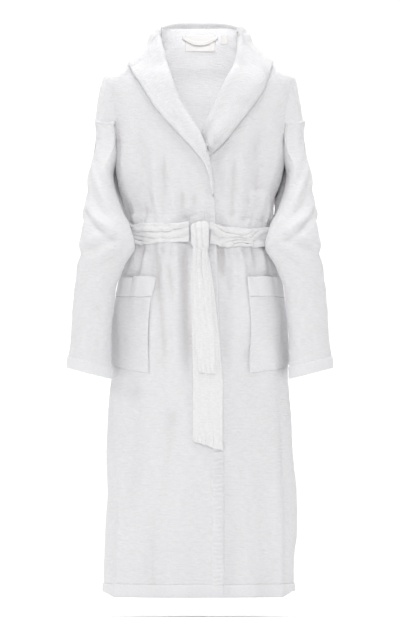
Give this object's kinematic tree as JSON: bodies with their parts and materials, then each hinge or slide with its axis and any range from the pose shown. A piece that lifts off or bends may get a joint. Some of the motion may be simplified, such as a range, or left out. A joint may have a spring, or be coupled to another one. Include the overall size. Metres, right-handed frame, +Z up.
{
  "type": "bathrobe",
  "caption": "Ankle-length terry bathrobe with a shawl collar, dropped shoulders, patch pockets, a tied belt and a hanging loop.",
  "frame": {"origin": "middle of the robe's footprint, level with the underside of the hem", "axes": "+Z up, -Y is the front, +X is the wearer's left"},
  "size_m": [0.586, 0.3338, 1.268],
  "materials": {
    "terry": "soft looped cotton terry",
    "terry_band": "stitched-down double terry",
    "belt_terry": "soft looped cotton terry",
    "tape": "smooth woven tape"
  },
  "bodies": {
    "root": {"back_panel": "terry", "right_front": "terry", "left_front": "terry", "right_front_facing": "terry_band", "left_front_facing": "terry_band", "back_hem": "terry_band", "right_front_hem": "terry_band", "left_front_hem": "terry_band", "collar_back": "terry", "right_lapel": "terry", "left_lapel": "terry", "right_pocket": "terry", "right_pocket_band": "terry_band", "left_pocket": "terry", "left_pocket_band": "terry_band", "belt_waistband": "belt_terry", "belt_knot": "belt_terry", "right_belt_loop": "belt_terry", "left_belt_loop": "belt_terry", "neck_label": "tape"},
    "right_sleeve": {"right_sleeve": "terry", "right_sleeve_hem": "terry_band"},
    "left_sleeve": {"left_sleeve": "terry", "left_sleeve_hem": "terry_band"},
    "belt_tail_over": {"belt_tail_over": "belt_terry"},
    "belt_tail_under": {"belt_tail_under": "belt_terry"},
    "hanger_loop": {"hanger_loop": "tape"},
    "size_tag": {"size_tag": "tape"}
  },
  "joints": [
    {"name": "right_sleeve_swing", "type": "hinge", "parent": "root", "child": "right_sleeve", "pos_m": [-0.229, 0, 1.05], "axis": [0, 1, 0], "range_deg": [0, 45]},
    {"name": "left_sleeve_swing", "type": "hinge", "parent": "root", "child": "left_sleeve", "pos_m": [0.229, 0, 1.05], "axis": [0, -1, 0], "range_deg": [0, 45]},
    {"name": "belt_tail_over_lift", "type": "hinge", "parent": "root", "child": "belt_tail_over", "pos_m": [0, -0.1262, 0.765], "axis": [-1, 0, 0], "range_deg": [0, 50]},
    {"name": "belt_tail_under_swing", "type": "hinge", "parent": "root", "child": "belt_tail_under", "pos_m": [0.012, -0.1197, 0.765], "axis": [0, -0.9947, -0.1028], "range_deg": [-12, 12]},
    {"name": "hanger_loop_flip", "type": "hinge", "parent": "root", "child": "hanger_loop", "pos_m": [0, 0.0395, 1.2405], "axis": [-1, 0, 0], "range_deg": [0, 160]},
    {"name": "size_tag_flip", "type": "hinge", "parent": "root", "child": "size_tag", "pos_m": [0.05019, 0.04543, 1.24], "axis": [-1, 0, 0], "range_deg": [0, 130]}
  ]
}
